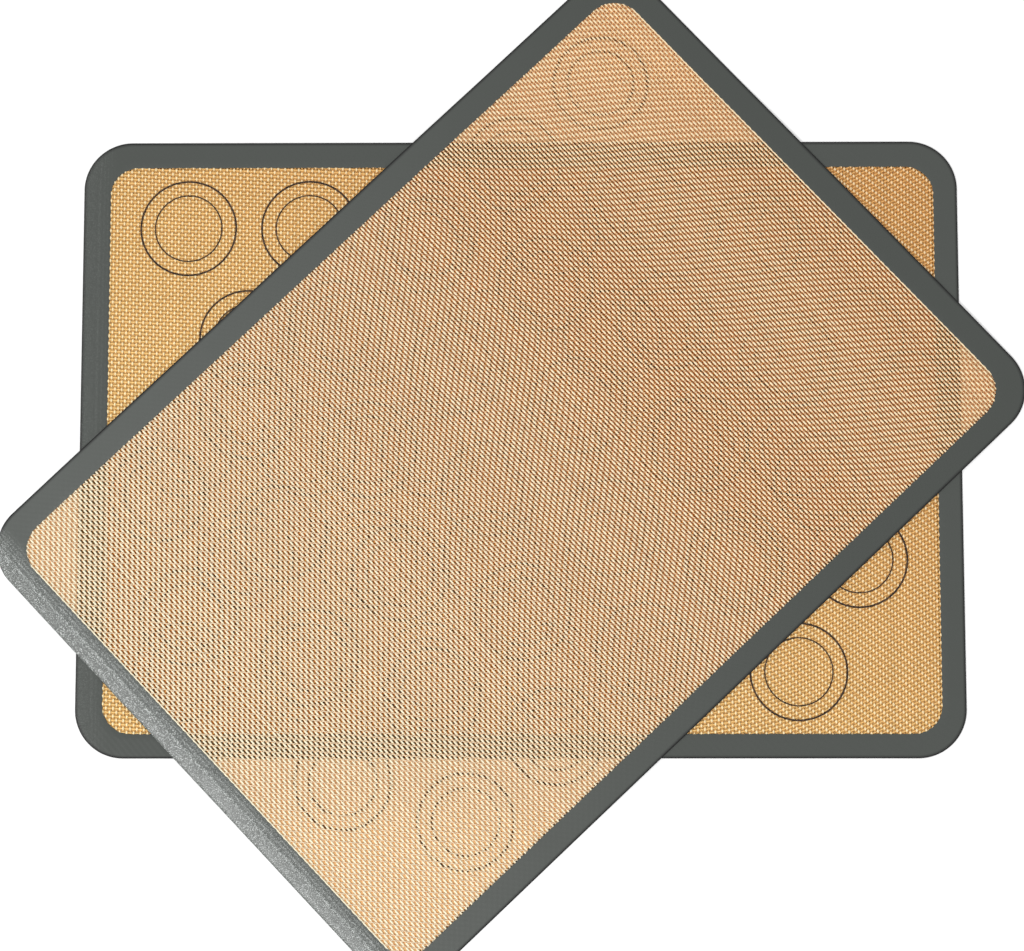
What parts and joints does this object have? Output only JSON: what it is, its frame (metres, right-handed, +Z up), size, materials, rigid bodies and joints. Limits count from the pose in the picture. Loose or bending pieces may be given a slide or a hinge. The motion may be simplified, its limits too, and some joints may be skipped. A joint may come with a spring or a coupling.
{
  "type": "silicone baking mat",
  "caption": "Thin woven-glass and silicone baking mat with a grey border and printed guide rings, shown as one mat face up and its twin laid across it face down.",
  "frame": {"origin": "centre of the crossed pair's outline, at the table that the lower mat lies on", "axes": "+Z up, +X along the lower mat's long edge, +Y along its short edge towards the back of the picture"},
  "size_m": [0.4882, 0.4836, 0.0016],
  "materials": {
    "glass_cloth": "woven glass, cream",
    "clear_silicone": "clear amber silicone, satin",
    "grey_silicone": "satin",
    "printing_ink": "matt"
  },
  "bodies": {
    "lower_mat": {"lower_glass_cloth": "glass_cloth", "lower_front_coat": "clear_silicone", "lower_back_coat": "clear_silicone", "lower_front_border": "grey_silicone", "lower_back_border": "grey_silicone", "lower_ring_print": "printing_ink"},
    "upper_mat": {"upper_glass_cloth": "glass_cloth", "upper_front_coat": "clear_silicone", "upper_back_coat": "clear_silicone", "upper_front_border": "grey_silicone", "upper_back_border": "grey_silicone"}
  },
  "joints": [
    {"name": "upper_mat_lift", "type": "slide", "parent": "lower_mat", "child": "upper_mat", "axis": [0, 0, 1], "range_m": [0, 0.12]}
  ]
}
